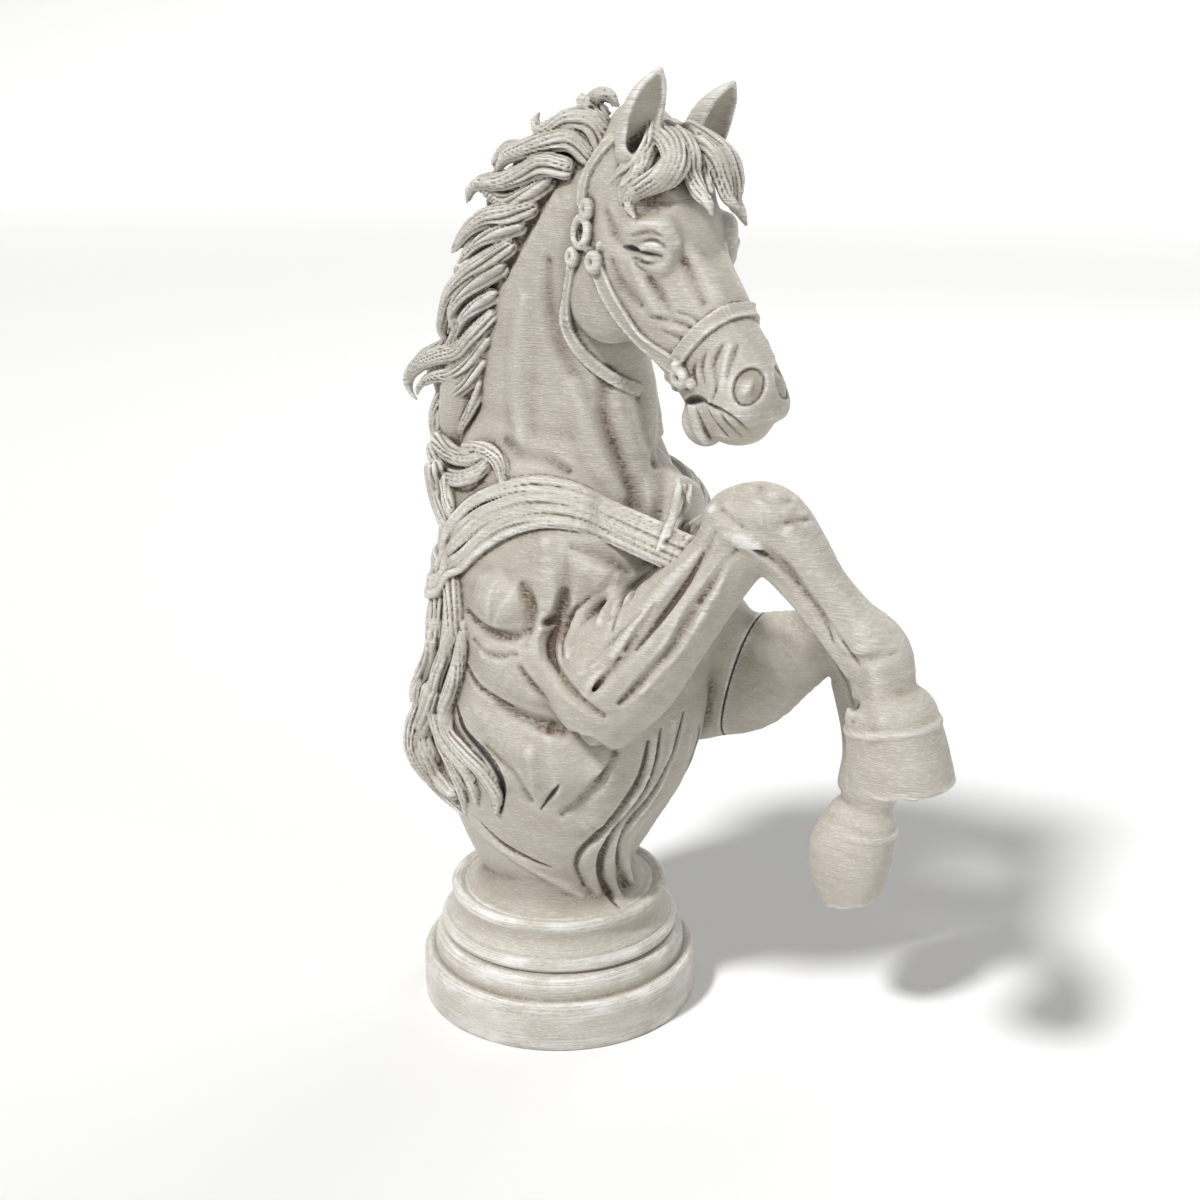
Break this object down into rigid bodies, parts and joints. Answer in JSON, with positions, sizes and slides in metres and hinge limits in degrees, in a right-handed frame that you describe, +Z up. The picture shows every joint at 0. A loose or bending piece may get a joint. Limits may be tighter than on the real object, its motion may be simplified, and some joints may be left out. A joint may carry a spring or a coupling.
{
  "type": "rearing horse bust on a turned socle",
  "caption": "Printed bust of a rearing horse with bridled head, flowing mane and bent forelegs, rising from a round stepped socle that it stands on",
  "frame": {"origin": "the middle of the socle's underside", "axes": "+Z is up, the horse looks along +X, and its right side faces -Y"},
  "size_m": [0.1866, 0.086, 0.2792],
  "materials": {
    "printed_plastic": "bone-coloured printed plastic with fine level layer lines, a thin brown wash in the recesses and paler rubbed ridges"
  },
  "bodies": {
    "root": {"horse_bust": "printed_plastic", "far_foreleg": "printed_plastic"}
  },
  "joints": []
}
